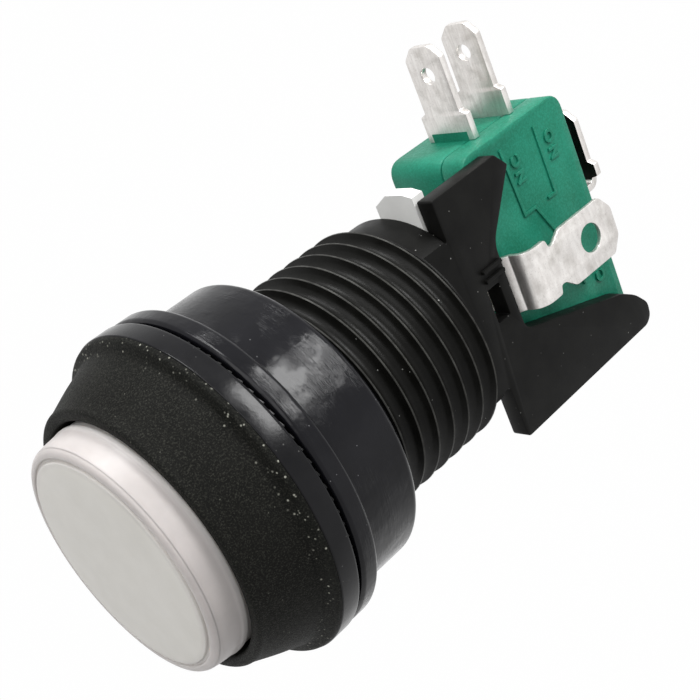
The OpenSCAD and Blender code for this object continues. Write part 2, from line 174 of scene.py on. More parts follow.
def moulded(name, dark, light, rough, specular, grain_mm, grain_depth, blotch_mm=3.0, dust=0.0, crest=0.0):
    """Moulded plastic: blotchy colour, uneven gloss, a fine grain, a little dust and a painted highlight on
    the thread crests.
    """
    material, tree, shader, place = new_finish(name)
    blotch = spread(tree, noise(tree, place, blotch_mm, 4.0), 0.3, 0.7)
    colour = blend_colours(tree, blotch, dark, light)
    fine = noise(tree, place, grain_mm, 2.0, 0.5)
    if dust:
        specks = shader_node(tree, "ShaderNodeTexVoronoi", {"feature": "F1"}, {
            "Vector": place, "Scale": 1.0 / (0.9 * MM), "Randomness": 1.0}).outputs["Distance"]
        speck = spread(tree, specks, 0.04, 0.09, 1.0, 0.0)
        chance = spread(tree, noise(tree, place, 2.4, 1.0), 0.5, 0.62)
        speck = maths(tree, "MULTIPLY", speck, chance)
        colour = blend_colours(tree, maths(tree, "MULTIPLY", speck, dust), colour, (0.4, 0.4, 0.38))
    if crest:
        # Painted highlight: a paler colour near the crest radius stands in for light caught on the thread
        # crests.
        crest_highlight = spread(tree, from_axis(tree, place), crest - 0.07, crest)
        patchy = spread(tree, noise(tree, place, 1.3, 3.0), 0.35, 0.65, 0.35, 1.0)
        colour = blend_colours(tree, maths(tree, "MULTIPLY", crest_highlight, patchy), colour, (0.065, 0.065, 0.060))
    tree.links.new(colour, shader.inputs["Base Color"])
    smear = noise(tree, place, blotch_mm * 0.6, 5.0)
    tree.links.new(spread(tree, smear, 0.3, 0.7, rough - 0.07, rough + 0.08), shader.inputs["Roughness"])
    tree.links.new(bump(tree, fine, grain_depth), shader.inputs["Normal"])
    shader.inputs["Specular IOR Level"].default_value = specular
    return material


def grained_black():
    """Spark-eroded black plastic of the bezel: a sandy grain, with painted glints as pale specks, more of them
    along the bead.
    """
    material, tree, shader, place = new_finish("black_grained_plastic")
    sand = noise(tree, place, 0.14, 3.0, 0.7)
    broad = spread(tree, noise(tree, place, 4.0, 3.0), 0.3, 0.7)
    colour = blend_colours(tree, broad, (0.0034, 0.0036, 0.0030), (0.0056, 0.0058, 0.0050))
    grains = spread(tree, sand, 0.50, 0.66)
    colour = blend_colours(tree, maths(tree, "MULTIPLY", grains, 0.75), colour, (0.030, 0.030, 0.025))
    cells = shader_node(tree, "ShaderNodeTexVoronoi", {"feature": "F1"}, {
        "Vector": place, "Scale": 1.0 / (0.5 * MM), "Randomness": 1.0}).outputs["Distance"]
    chance = noise(tree, place, 1.5, 1.0)
    far_out = spread(tree, from_axis(tree, place), 15.1, 15.4)
    # Painted glints: pale specks in the base colour stand in for sparkle off the grain, denser near the bead's
    # outer edge.
    glints = maths(tree, "MULTIPLY", spread(tree, cells, 0.05, 0.13, 1.0, 0.0),
                   spread(tree, chance, 0.56, 0.66))
    edge = maths(tree, "MULTIPLY", spread(tree, cells, 0.10, 0.24, 1.0, 0.0),
                 spread(tree, chance, 0.42, 0.55))
    edge = maths(tree, "MULTIPLY", edge, far_out)
    colour = blend_colours(tree, maths(tree, "MULTIPLY", glints, 0.5), colour, (0.26, 0.26, 0.22))
    colour = blend_colours(tree, maths(tree, "MULTIPLY", edge, 0.75), colour, (0.42, 0.42, 0.36))
    tree.links.new(colour, shader.inputs["Base Color"])
    tree.links.new(spread(tree, sand, 0.3, 0.7, 0.65, 0.45), shader.inputs["Roughness"])
    tree.links.new(bump(tree, sand, 0.06, 1.0), shader.inputs["Normal"])
    shader.inputs["Specular IOR Level"].default_value = 0.06
    return material


def turned_black():
    """Glossy black nut with faint rings round its axis and a few pale specks."""
    material, tree, shader, place = new_finish("black_gloss_plastic")
    rings_place = shader_node(tree, "ShaderNodeMapping", None, {
        "Vector": place, "Scale": (0.05, 0.05, 1.0)}).outputs["Vector"]
    rings = noise(tree, rings_place, 0.12, 4.0, 0.6)
    swells = noise(tree, rings_place, 0.9, 2.0, 0.5)
    patch = spread(tree, noise(tree, place, 3.5, 3.0), 0.42, 0.62)
    broad = spread(tree, noise(tree, place, 5.0, 3.0), 0.3, 0.7)
    colour = blend_colours(tree, broad, (0.0040, 0.0040, 0.0052), (0.0070, 0.0070, 0.0088))
    specks = shader_node(tree, "ShaderNodeTexVoronoi", {"feature": "F1"}, {
        "Vector": place, "Scale": 1.0 / (1.3 * MM), "Randomness": 1.0}).outputs["Distance"]
    speck = maths(tree, "MULTIPLY", spread(tree, specks, 0.02, 0.05, 1.0, 0.0), 0.4)
    colour = blend_colours(tree, speck, colour, (0.35, 0.35, 0.36))
    tree.links.new(colour, shader.inputs["Base Color"])
    tree.links.new(spread(tree, rings, 0.3, 0.7, 0.10, 0.20), shader.inputs["Roughness"])
    height = maths(tree, "ADD", maths(tree, "MULTIPLY", rings, patch), maths(tree, "MULTIPLY", swells, 0.2))
    tree.links.new(bump(tree, height, 0.06, 0.8), shader.inputs["Normal"])
    shader.inputs["Specular IOR Level"].default_value = 0.15
    return material


def frosted():
    """Milky translucent lens plastic: greyer towards the rim, with a fine matt skin."""
    material, tree, shader, place = new_finish("frosted_lens_plastic")
    height = shader_node(tree, "ShaderNodeSeparateXYZ", None, {"Vector": place}).outputs["Z"]
    cloud = spread(tree, noise(tree, place, 5.0, 4.0), 0.3, 0.7)
    disc = blend_colours(tree, cloud, (0.585, 0.567, 0.528), (0.625, 0.606, 0.566))
    side = blend_colours(tree, cloud, (0.400, 0.372, 0.362), (0.480, 0.448, 0.436))
    ring = spread(tree, from_axis(tree, place), 9.7, 10.9)
    colour = blend_colours(tree, ring, disc, side)
    foot = spread(tree, height, 0.0090, 0.0084)
    colour = blend_colours(tree, maths(tree, "MULTIPLY", foot, 0.7), colour, (0.70, 0.68, 0.66))
    tree.links.new(colour, shader.inputs["Base Color"])
    skin = noise(tree, place, 0.12, 2.0)
    tree.links.new(spread(tree, noise(tree, place, 2.0, 4.0), 0.3, 0.7, 0.34, 0.46),
                   shader.inputs["Roughness"])
    tree.links.new(bump(tree, skin, 0.004, 0.5), shader.inputs["Normal"])
    shader.inputs["Specular IOR Level"].default_value = 0.4
    shader.inputs["Subsurface Weight"].default_value = 0.5
    shader.inputs["Subsurface Radius"].default_value = (1.0, 0.95, 0.9)
    shader.inputs["Subsurface Scale"].default_value = 0.0015
    return material


def green_plastic():
    """Matt green case plastic with a fine pebble whose peaks are paler."""
    material, tree, shader, place = new_finish("green_case_plastic")
    pebble = noise(tree, place, 0.22, 3.0, 0.6)
    cloud = spread(tree, noise(tree, place, 3.0, 4.0), 0.3, 0.7)
    colour = blend_colours(tree, cloud, (0.006, 0.135, 0.078), (0.010, 0.175, 0.108))
    colour = blend_colours(tree, maths(tree, "MULTIPLY", spread(tree, pebble, 0.42, 0.7), 0.45), colour,
                           (0.020, 0.260, 0.175))
    tree.links.new(colour, shader.inputs["Base Color"])
    tree.links.new(spread(tree, pebble, 0.3, 0.7, 0.50, 0.36), shader.inputs["Roughness"])
    tree.links.new(bump(tree, pebble, 0.03, 0.8), shader.inputs["Normal"])
    shader.inputs["Specular IOR Level"].default_value = 0.2
    return material


def tinned(name, painted_shade_side=False):
    """Tinned sheet metal: fine pitting, rolled streaks and dull stains.
    The side towards +Z can be painted near black as painted shade."""
    material, tree, shader, place = new_finish(name)
    streak_place = shader_node(tree, "ShaderNodeMapping", None, {
        "Vector": place, "Scale": (1.0, 0.12, 0.4)}).outputs["Vector"]
    streaks = noise(tree, streak_place, 0.25, 4.0, 0.6)
    pits = noise(tree, place, 0.16, 3.0, 0.7)
    stain = spread(tree, noise(tree, place, 1.8, 5.0, 0.6), 0.48, 0.72)
    colour = blend_colours(tree, spread(tree, streaks, 0.35, 0.65), (0.66, 0.63, 0.605), (0.80, 0.775, 0.75))
    colour = blend_colours(tree, maths(tree, "MULTIPLY", stain, 0.45), colour, (0.36, 0.34, 0.31))
    colour = blend_colours(tree, maths(tree, "MULTIPLY", spread(tree, pits, 0.58, 0.75), 0.55), colour,
                           (0.25, 0.24, 0.23))
    # Painted shade: faces towards +Z are painted near black, standing in for the shaded inner side of the tab.
    if painted_shade_side:
        facing = shader_node(tree, "ShaderNodeSeparateXYZ", None, {
            "Vector": shader_node(tree, "ShaderNodeTexCoord").outputs["Normal"]}).outputs["Z"]
        colour = blend_colours(tree, spread(tree, facing, 0.75, 0.9), colour, (0.012, 0.011, 0.010))
    tree.links.new(colour, shader.inputs["Base Color"])
    tree.links.new(spread(tree, stain, 0.0, 1.0, 0.34, 0.5), shader.inputs["Roughness"])
    height = maths(tree, "ADD", maths(tree, "MULTIPLY", streaks, 0.4), pits)
    tree.links.new(bump(tree, height, 0.012, 0.6), shader.inputs["Normal"])
    shader.inputs["Metallic"].default_value = 0.9
    return material


def metal(name, colour_low, colour_high, rough, grain_mm, depth_mm):
    """Plain drawn or plated metal with fine streaks."""
    material, tree, shader, place = new_finish(name)
    streaks = noise(tree, place, grain_mm, 4.0, 0.6)
    tree.links.new(blend_colours(tree, streaks, colour_low, colour_high), shader.inputs["Base Color"])
    tree.links.new(spread(tree, streaks, 0.3, 0.7, rough - 0.06, rough + 0.08), shader.inputs["Roughness"])
    tree.links.new(bump(tree, streaks, depth_mm, 0.5), shader.inputs["Normal"])
    shader.inputs["Metallic"].default_value = 1.0
    return material


GRAINED = grained_black()
GLOSS = turned_black()
SATIN = moulded("black_satin_plastic", (0.0042, 0.0042, 0.0040), (0.0075, 0.0075, 0.0070),
                0.38, 0.07, 0.12, 0.008, 3.0, 0.6)
THREAD_PAINTED_CREST_HIGHLIGHT = moulded("black_thread_plastic", (0.0036, 0.0036, 0.0030), (0.0065, 0.0065, 0.0058),
                 0.36, 0.10, 0.14, 0.010, 2.0, 0.8, CREST_R)
SMOOTH = moulded("black_smooth_plastic", (0.0040, 0.0040, 0.0048), (0.0070, 0.0070, 0.0080),
                 0.18, 0.14, 0.3, 0.006, 3.0, 0.2)
FROSTED = frosted()
GREEN = green_plastic()
TINNED = tinned("tinned_brass_sheet")
TINNED_WITH_PAINTED_SHADE = tinned("tinned_sheet_with_painted_shade_side", True)
WHITE = moulded("white_moulded_plastic", (0.72, 0.72, 0.70), (0.80, 0.80, 0.78), 0.42, 0.45, 0.15, 0.005)
BLACK_PIN = moulded("black_pin_plastic", (0.010, 0.010, 0.010), (0.018, 0.018, 0.018),
                    0.35, 0.4, 0.1, 0.004, 1.0)
LAMP_RESIN = moulded("clear_lamp_resin", (0.62, 0.66, 0.72), (0.72, 0.75, 0.80), 0.12, 0.5, 0.3, 0.002, 2.0)
DARK_STEEL = metal("blackened_steel", (0.012, 0.012, 0.012), (0.05, 0.05, 0.05), 0.42, 0.2, 0.02)
SPRING = metal("spring_wire_steel", (0.42, 0.42, 0.43), (0.60, 0.60, 0.61), 0.28, 0.1, 0.004)
BRONZE = metal("spring_bronze", (0.55, 0.36, 0.17), (0.68, 0.47, 0.24), 0.30, 0.15, 0.004)
SILVER = metal("silver_contact", (0.66, 0.65, 0.63), (0.80, 0.79, 0.77), 0.30, 0.1, 0.004)


# Shapes. Points are in mm; a mesh is made in metres.

def corner(before, at, after, cut, steps=5):
    """Points that round one corner off, starting and ending cut mm from it."""
    here = Vector(at)
    first = here + (Vector(before) - here).normalized() * cut
    last = here + (Vector(after) - here).normalized() * cut
    return [((1 - t) ** 2 * first + 2 * t * (1 - t) * here + t ** 2 * last)[:]
            for t in (i / steps for i in range(steps + 1))]


def rounded(points, steps=5):
    """A closed outline from (a, b) or (a, b, cut) points, with the corners that have a cut rounded."""
    out = []
    count = len(points)
    for i, point in enumerate(points):
        if len(point) > 2 and point[2]:
            out += corner(points[i - 1][:2], point[:2], points[(i + 1) % count][:2], point[2], steps)
        else:
            out.append(tuple(point[:2]))
    return out


def circle(centre, radius):
    return [(centre[0] + radius * math.cos(math.tau * i / CIRCLE_POINTS),
             centre[1] + radius * math.sin(math.tau * i / CIRCLE_POINTS)) for i in range(CIRCLE_POINTS)]


def block(low, high, cut=0.0):
    """A rectangle's outline with round corners."""
    return rounded([(low[0], low[1], cut), (high[0], low[1], cut),
                    (high[0], high[1], cut), (low[0], high[1], cut)], 8)


def tidy(mesh, angle=CREASE):
    """Merges doubles, turns the faces outwards, and shades smooth up to a crease angle."""
    work = bmesh.new()
    work.from_mesh(mesh)
    bmesh.ops.remove_doubles(work, verts=work.verts, dist=1e-7)
    bmesh.ops.dissolve_degenerate(work, edges=work.edges, dist=1e-8)
    bmesh.ops.recalc_face_normals(work, faces=work.faces)
    for face in work.faces:
        face.smooth = True
    for edge in work.edges:
        edge.smooth = len(edge.link_faces) == 2 and edge.calc_face_angle(0.0) < math.radians(angle)
    work.to_mesh(mesh)
    work.free()
    return mesh


def show(name, mesh, material, body, stands_for, angle=CREASE):
    """Puts a finished mesh into the scene as one piece on a body."""
    mesh.materials.clear()
    mesh.materials.append(material)
    tidy(mesh, angle)
    piece = bpy.data.objects.new(name, mesh)
    bpy.context.scene.collection.objects.link(piece)
    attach(piece, body)
    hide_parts(*stands_for)


def lathe(outline, segments=192):
    """A closed (radius, z) outline turned once round the Z axis."""
    mesh = bpy.data.meshes.new("turned")
    verts, faces, rings = [], [], []
    for radius, z in outline:
        if radius < 1e-6:
            rings.append([len(verts)] * segments)
            verts.append((0.0, 0.0, z * MM))
        else:
            rings.append(list(range(len(verts), len(verts) + segments)))
            verts += [(radius * MM * math.cos(math.tau * i / segments),
                       radius * MM * math.sin(math.tau * i / segments), z * MM) for i in range(segments)]
    for k in range(len(rings)):
        low, high = rings[k], rings[(k + 1) % len(rings)]
        for i in range(segments):
            j = (i + 1) % segments
            quad = [low[i], low[j], high[j], high[i]]
            unique = list(dict.fromkeys(quad))
            if len(unique) > 2:
                faces.append(unique)
    mesh.from_pydata(verts, [], faces)
    return mesh


def plain_mesh(thing):
    """What an object evaluates to, as a plain mesh; the object is thrown away."""
    bpy.context.view_layer.update()
    depsgraph = bpy.context.evaluated_depsgraph_get()
    mesh = bpy.data.meshes.new_from_object(thing.evaluated_get(depsgraph))
    bpy.data.objects.remove(thing)
    return mesh


def plate(loops, low, high, edge, plane="YZ"):
    """A flat plate with holes. Its outline lies in the named plane, between two levels of the third axis."""
    curve = bpy.data.curves.new("plate", "CURVE")
    curve.dimensions = "2D"
    curve.fill_mode = "BOTH"
    for loop in loops:
        spline = curve.splines.new("POLY")
        spline.points.add(len(loop) - 1)
        for point, (a, b) in zip(spline.points, loop):
            point.co = (a, b, 0.0, 1.0)
        spline.use_cyclic_u = True
    curve.extrude = (high - low) / 2 - edge
    curve.bevel_depth = edge
    curve.bevel_resolution = 1
    curve.offset = -edge
    thing = bpy.data.objects.new("plate", curve)
    bpy.context.scene.collection.objects.link(thing)
    mesh = plain_mesh(thing)
    middle = (low + high) / 2
    for vert in mesh.vertices:
        a, b, c = vert.co
        c += middle
        vert.co = Vector({"YZ": (c, a, b), "XZ": (a, c, b), "XY": (a, b, c)}[plane]) * MM
    return mesh


def joined(*meshes):
    """Several meshes as one."""
    work = bmesh.new()
    for mesh in meshes:
        work.from_mesh(mesh)
    out = bpy.data.meshes.new("joined")
    work.to_mesh(out)
    work.free()
    return out


def cut_away(mesh, *tools):
    """The mesh with the tools' volumes taken out."""
    body = bpy.data.objects.new("cut", tidy(mesh))
    bpy.context.scene.collection.objects.link(body)
    helpers = []
    for tool in tools:
        helper = bpy.data.objects.new("tool", tidy(tool))
        bpy.context.scene.collection.objects.link(helper)
        modifier = body.modifiers.new("take", "BOOLEAN")
        modifier.operation = "DIFFERENCE"
        modifier.solver = "EXACT"
        modifier.object = helper
        helpers.append(helper)
    out = plain_mesh(body)
    for helper in helpers:
        bpy.data.objects.remove(helper)
    return out


def bent(loops, thickness, edge, start, heading, runs, swap=None):
    """A flat strip bent along a path. Loops are (along, across); runs are ("go", length) or
    ("turn", radius, degrees). start and heading are in the plane of the path, as (a, b)."""
    flat = plate(loops, -thickness / 2, thickness / 2, edge, "XY")
    marks, at = [], 0.0
    for run in runs:
        if run[0] == "turn":
            length = run[1] * math.radians(abs(run[2]))
            marks += [at + length * i / 8 for i in range(9)]
            at += length
        else:
            at += run[1]
    work = bmesh.new()
    work.from_mesh(flat)
    bmesh.ops.remove_doubles(work, verts=work.verts, dist=1e-7)
    for mark in marks:
        bmesh.ops.bisect_plane(work, geom=work.verts[:] + work.edges[:] + work.faces[:],
                               plane_co=(mark * MM, 0, 0), plane_no=(1, 0, 0), dist=1e-7)
    for vert in work.verts:
        along, across, lift = (c / MM for c in vert.co)
        here, angle, left = Vector(start), heading, along
        for index, run in enumerate(runs):
            last = index == len(runs) - 1
            if run[0] == "go":
                step = left if last else min(left, run[1])
                here = here + Vector((math.cos(angle), math.sin(angle))) * step
            else:
                length = run[1] * math.radians(abs(run[2]))
                step = min(left, length)
                sign = 1 if run[2] > 0 else -1
                centre = here + Vector((-math.sin(angle), math.cos(angle))) * run[1] * sign
                turn = sign * step / run[1]
                here = centre + Matrix.Rotation(turn, 2) @ (here - centre)
                angle += turn
            left -= step
            if left <= 1e-9:
                break
        side = Vector((-math.sin(angle), math.cos(angle)))
        a, b = here + side * lift
        vert.co = Vector(swap(a, b, across)) * MM
    out = bpy.data.meshes.new("bent")
    work.to_mesh(out)
    work.free()
    return out


# Geometry Nodes

class Tree:
    """A small helper that builds one Geometry Nodes group with named inputs."""

    def __init__(self, name, inputs):
        self.group = bpy.data.node_groups.new(name, "GeometryNodeTree")
        self.ids = {}
        for label, kind, value in inputs:
            socket = self.group.interface.new_socket(label, in_out="INPUT", socket_type=kind)
            if value is not None:
                socket.default_value = value
            self.ids[label] = socket.identifier
        self.group.interface.new_socket("Geometry", in_out="OUTPUT", socket_type="NodeSocketGeometry")
        self.start = self.group.nodes.new("NodeGroupInput")
        self.end = self.group.nodes.new("NodeGroupOutput")

    def value(self, label):
        return self.start.outputs[label]

    def add(self, kind, settings=None, inputs=None):
        return shader_node(self.group, kind, settings, inputs)

    def sum(self, operation, first, second=0.0):
        made = self.group.nodes.new("ShaderNodeMath")
        made.operation = operation
        for index, value in enumerate((first, second)):
            if isinstance(value, bpy.types.NodeSocket):
                self.group.links.new(value, made.inputs[index])
            else:
                made.inputs[index].default_value = value
        return made.outputs[0]

    def finish(self, geometry, material):
        real = self.add("GeometryNodeRealizeInstances", None, {"Geometry": geometry})
        painted = self.add("GeometryNodeSetMaterial", None, {
            "Geometry": real.outputs["Geometry"], "Material": material})
        self.group.links.new(painted.outputs["Geometry"], self.end.inputs["Geometry"])

    def mesh(self, **values):
        """Runs the group with these inputs and returns a plain mesh."""
        thing = bpy.data.objects.new("made", bpy.data.meshes.new("made"))
        bpy.context.scene.collection.objects.link(thing)
        modifier = thing.modifiers.new("made", "NODES")
        modifier.node_group = self.group
        for label, value in values.items():
            modifier[self.ids[label.replace("_", " ")]] = value
        return plain_mesh(thing)


def thread_tree():
    """A screw thread: a grid wrapped on a helix, whose width across one pitch follows the tooth's shape."""
    tree = Tree("screw_thread", [
        ("Pitch", "NodeSocketFloat", PITCH * MM), ("Turns", "NodeSocketInt", 14),
        ("Start", "NodeSocketFloat", THREAD_START * MM), ("Low", "NodeSocketFloat", 0.0),
        ("High", "NodeSocketFloat", 0.0), ("Run Out", "NodeSocketFloat", 0.001),
        ("Base Radius", "NodeSocketFloat", ROOT_R * MM), ("Tooth Radius", "NodeSocketFloat", CREST_R * MM),
        ("Hollow", "NodeSocketFloat", 0.0), ("Steps", "NodeSocketInt", 96),
    ])
    turns = tree.value("Turns")
    grid = tree.add("GeometryNodeMeshGrid", None, {
        "Size X": 1.0, "Size Y": 1.0,
        "Vertices X": tree.sum("ADD", tree.sum("MULTIPLY", turns, tree.value("Steps")), 1.0),
        "Vertices Y": 15})
    spot = tree.add("ShaderNodeSeparateXYZ", None, {
        "Vector": tree.add("GeometryNodeInputPosition").outputs["Position"]})
    along = tree.sum("MULTIPLY", tree.sum("ADD", spot.outputs["X"], 0.5), turns)
    across = tree.sum("ADD", spot.outputs["Y"], 0.5)
    angle = tree.sum("MULTIPLY", along, math.tau)
    level = tree.sum("ADD", tree.sum("MULTIPLY", tree.sum("ADD", along, across), tree.value("Pitch")),
                     tree.value("Start"))
    level = tree.sum("MAXIMUM", tree.sum("MINIMUM", level, tree.value("High")), tree.value("Low"))
    tooth = tree.add("ShaderNodeFloatCurve", None, {"Value": across})
    curve = tooth.mapping.curves[0]
    for x, y in ((0.05, 1.0), (0.10, 0.72), (0.24, 0.24), (0.52, 0.0), (0.80, 0.20), (0.94, 0.68)):
        curve.points.new(x, y)
    curve.points[0].location = (0.0, 1.0)
    curve.points[-1].location = (1.0, 1.0)
    for point in curve.points:
        point.handle_type = "VECTOR" if point.location[0] in (0.0, 1.0) else "AUTO_CLAMPED"
    tooth.mapping.update()
    shape = tree.sum("ABSOLUTE", tree.sum("SUBTRACT", tree.value("Hollow"), tooth.outputs[0]))
    fades = []
    for first, second in ((level, tree.value("Low")), (tree.value("High"), level)):
        gone = tree.sum("DIVIDE", tree.sum("SUBTRACT", first, second), tree.value("Run Out"))
        fades.append(tree.sum("MINIMUM", gone, 1.0))
    shape = tree.sum("MULTIPLY", shape, tree.sum("MULTIPLY", fades[0], fades[1]))
    radius = tree.sum("ADD", tree.value("Base Radius"), tree.sum(
        "MULTIPLY", shape, tree.sum("SUBTRACT", tree.value("Tooth Radius"), tree.value("Base Radius"))))
    place = tree.add("ShaderNodeCombineXYZ", None, {
        "X": tree.sum("MULTIPLY", radius, tree.sum("COSINE", angle)),
        "Y": tree.sum("MULTIPLY", radius, tree.sum("SINE", angle)), "Z": level})
    moved = tree.add("GeometryNodeSetPosition", None, {
        "Geometry": grid.outputs["Mesh"], "Position": place.outputs["Vector"]})
    merged = tree.add("GeometryNodeMergeByDistance", None, {
        "Geometry": moved.outputs["Geometry"], "Distance": 0.00001})
    tree.finish(merged.outputs["Geometry"], SATIN)
    return tree


def row_tree():
    """Small blocks side by side in a ring."""
    tree = Tree("row_of_blocks", [
        ("Count", "NodeSocketInt", 60), ("Radius", "NodeSocketFloat", 0.01), ("Level", "NodeSocketFloat", 0.0),
        ("Size", "NodeSocketVector", (0.001, 0.001, 0.001)), ("Twist", "NodeSocketFloat", 0.0),
    ])
    ring = tree.add("GeometryNodeMeshCircle", None, {
        "Vertices": tree.value("Count"), "Radius": tree.value("Radius")})
    lifted = tree.add("GeometryNodeSetPosition", None, {
        "Geometry": ring.outputs["Mesh"],
        "Offset": tree.add("ShaderNodeCombineXYZ", None, {"Z": tree.value("Level")}).outputs["Vector"]})
    tooth = tree.add("GeometryNodeMeshCube", None, {"Size": tree.value("Size")})
    number = tree.add("GeometryNodeInputIndex").outputs["Index"]
    angle = tree.sum("MULTIPLY", tree.sum("DIVIDE", number, tree.value("Count")), math.tau)
    turn = tree.add("ShaderNodeCombineXYZ", None, {"X": tree.value("Twist"), "Z": angle})
    placed = tree.add("GeometryNodeInstanceOnPoints", None, {
        "Points": lifted.outputs["Geometry"], "Instance": tooth.outputs["Mesh"],
        "Rotation": turn.outputs["Vector"]})
    tree.finish(placed.outputs["Instances"], DARK_STEEL)
    return tree


def walled(mesh, radius):
    """Closes an open thread skin with a plain wall at a radius in mm, so that it is a solid ring."""
    work = bmesh.new()
    work.from_mesh(mesh)
    rims = [e for e in work.edges if len(e.link_faces) == 1]
    made = bmesh.ops.extrude_edge_only(work, edges=rims)["geom"]
    for vert in (g for g in made if isinstance(g, bmesh.types.BMVert)):
        flat = Vector((vert.co.x, vert.co.y)).normalized() * radius * MM
        vert.co.x, vert.co.y = flat
    bmesh.ops.remove_doubles(work, verts=work.verts, dist=1e-7)
    rims = [e for e in work.edges if len(e.link_faces) == 1]
    bmesh.ops.bridge_loops(work, edges=rims)
    work.to_mesh(mesh)
    work.free()
    return mesh


THREAD = thread_tree()
ROW = row_tree()


# Housing

rim = lathe(rounded([
    (12.9, 1.6), (12.9, 0.0, 0.15), (BEZEL_R, 0.0, 0.35), (BEZEL_R, RIM_H + 0.02, 0.1),
    (BEZEL_R - 0.15, RIM_H + 0.06), (15.9, RIM_H + 0.06), (15.9, 1.6)]), 256)
show("bezel_rim", rim, SMOOTH, "frame", ["housing"], 50)
head = lathe(rounded([
    (12.95, 1.5, 0.1), (16.0, 1.5), (16.0, RIM_H), (BEZEL_R - 0.06, RIM_H + 0.05, 0.08),
    (BEZEL_R - 0.2, RIM_H + 0.5, 0.25), (BEZEL_R - 1.15, RIM_H + 0.85, 0.3), (14.45, 5.4, 0.8),
    (13.4, 7.75, 0.4), (13.25, LIP_H, 0.42), (MOUTH_R, LIP_H, 0.5), (MOUTH_R, SEAT_Z, 0.2),
    (BORE_R, SEAT_Z, 0.15), (BORE_R, 0.6), (CORE_R, 0.6), (CORE_R, 1.0), (12.95, 1.0, 0.1)
], 8), 256)
show("bezel_head", head, GRAINED, "frame", ["housing"], 40)

core = lathe(rounded([
    (CORE_R, 1.2), (CORE_R, REAR_Z + 0.3), (COLLAR_R, REAR_Z + 0.25, 0.15),
    (COLLAR_R, BARREL_Z, 0.25), (BORE_R, BARREL_Z, 0.2), (BORE_R, -15.0), (8.5, -15.0, 0.2),
    (8.5, -12.0, 0.2), (BORE_R, -12.0), (BORE_R, 1.2)
]))
rear_cuts = [plate([block(a, b)], BARREL_Z - 1.0, REAR_Z - 0.01, 0.0, "XY") for a, b in (
    ((WING_OUT - 0.02, -12.0), (13.0, 12.0)), ((-13.0, -12.0), (0.02 - WING_OUT, 12.0)),
    ((-6.9, -12.5), (6.9, 4.0)))]
show("barrel_core", cut_away(core, *rear_cuts), SATIN, "frame", ["housing"])

thread = walled(THREAD.mesh(
    Pitch=PITCH * MM, Turns=15, Start=(THREAD_START - PITCH) * MM, Low=(REAR_Z - 0.05) * MM,
    High=0.9 * MM, Run_Out=0.25 * MM, Base_Radius=ROOT_R * MM, Tooth_Radius=CREST_R * MM,
    Hollow=0.0, Steps=96), 10.3)
show("barrel_thread", thread, THREAD_PAINTED_CREST_HIGHLIGHT, "frame", ["housing"], 28)

near_outline = [
    (-WING_Y, -20.0), (-WING_Y, -29.05, 0.3), (-13.79, -29.05, 0.15), (-14.09, -29.35, 0.15),
    (-14.09, -50.6, 0.5), (-13.39, -51.5, 0.5), (-11.94, -51.7, 0.6), (-10.24, -50.3, 0.8),
    (-8.94, -48.3, 0.6),
    (-4.4, -33.8, 1.0), (4.6, -33.8, 0.5), (5.6, -34.2, 0.5), (10.96, -38.9, 0.25), (12.56, -37.6, 0.25),
    (12.51, -28.2, 0.25), (WING_Y, -28.2, 0.3), (WING_Y, -20.0)]
far_outline = near_outline[:10] + [(4.6, -33.8, 0.8), (6.6, -20.0)]
window = block((-1.9, -32.5), (1.6, -30.7), 0.15)
near_side = plate([rounded(near_outline), window], WING_IN, WING_OUT, 0.14)
far_side = plate([rounded(far_outline), window], -WING_OUT, -WING_IN, 0.14)
pips = [plate([circle(HOLE_A, 1.0)], WING_IN - 1.4, WING_IN + 0.3, 0.1),
        plate([circle(HOLE_B, HOLE_R - 0.15)], WING_IN - 1.4, WING_IN + 0.3, 0.1),
        plate([circle(HOLE_B, HOLE_R - 0.15)], -WING_IN - 0.3, -WING_IN + 1.4, 0.1)]
ribs = [plate([block((y, -33.6), (y + 0.4, -30.8), 0.1)], WING_OUT - 0.2, WING_OUT + 0.35, 0.1)
        for y in (2.3, 3.3)]
nib = plate([block((-0.2, -31.2), (0.9, -30.6), 0.1)], WING_IN + 0.2, WING_IN + 1.5, 0.08)
show("near_wing", joined(near_side, *pips[:2], *ribs, nib), SATIN, "frame", ["housing"])
show("far_wing", joined(far_side, pips[2]), SATIN, "frame", ["housing"])

fills = []
for side in (1, -1):
    half = math.acos(WING_IN / 10.2)
    arc = [(side * 10.2 * math.cos(half * (i / 12 - 1)), 10.2 * math.sin(half * (i / 12 - 1)))
           for i in range(25)]
    fills.append(plate([arc], REAR_Z + 0.05, -20.0, 0.1, "XY"))
show("barrel_cheeks", joined(*fills), SATIN, "frame", ["housing"])


# Panel hardware

washer = lathe(rounded([(12.3, -0.38), (12.3, -0.06), (15.35, -0.06, 0.05), (15.35, -0.38, 0.05)]))
teeth = ROW.mesh(Count=84, Radius=15.45 * MM, Level=-0.22 * MM,
                 Size=(0.9 * MM, 0.55 * MM, 0.14 * MM), Twist=0.32)
show("toothed_washer", joined(washer, teeth), DARK_STEEL, "washer", ["lock_washer"], 30)

nut_shape = lathe(rounded([
    (12.45, -0.42), (16.15, -0.42, 0.15), (16.4, -0.72, 0.15), (16.4, -2.1, 0.15), (16.15, -2.42, 0.15),
    (15.15, -2.46, 0.12), (14.9, -2.85, 0.15), (14.9, -8.95, 0.3), (14.45, -9.42, 0.25), (12.45, -9.42)
]), 256)
nut_thread = walled(THREAD.mesh(
    Pitch=PITCH * MM, Turns=6, Start=(THREAD_START + 8 * PITCH) * MM, Low=-9.4 * MM, High=-0.44 * MM,
    Run_Out=0.7 * MM, Base_Radius=12.3 * MM, Tooth_Radius=11.2 * MM, Hollow=1.0, Steps=96), 12.6)
show("ring_nut", joined(nut_shape, nut_thread), GLOSS, "nut", ["panel_nut"], 26)


# Button

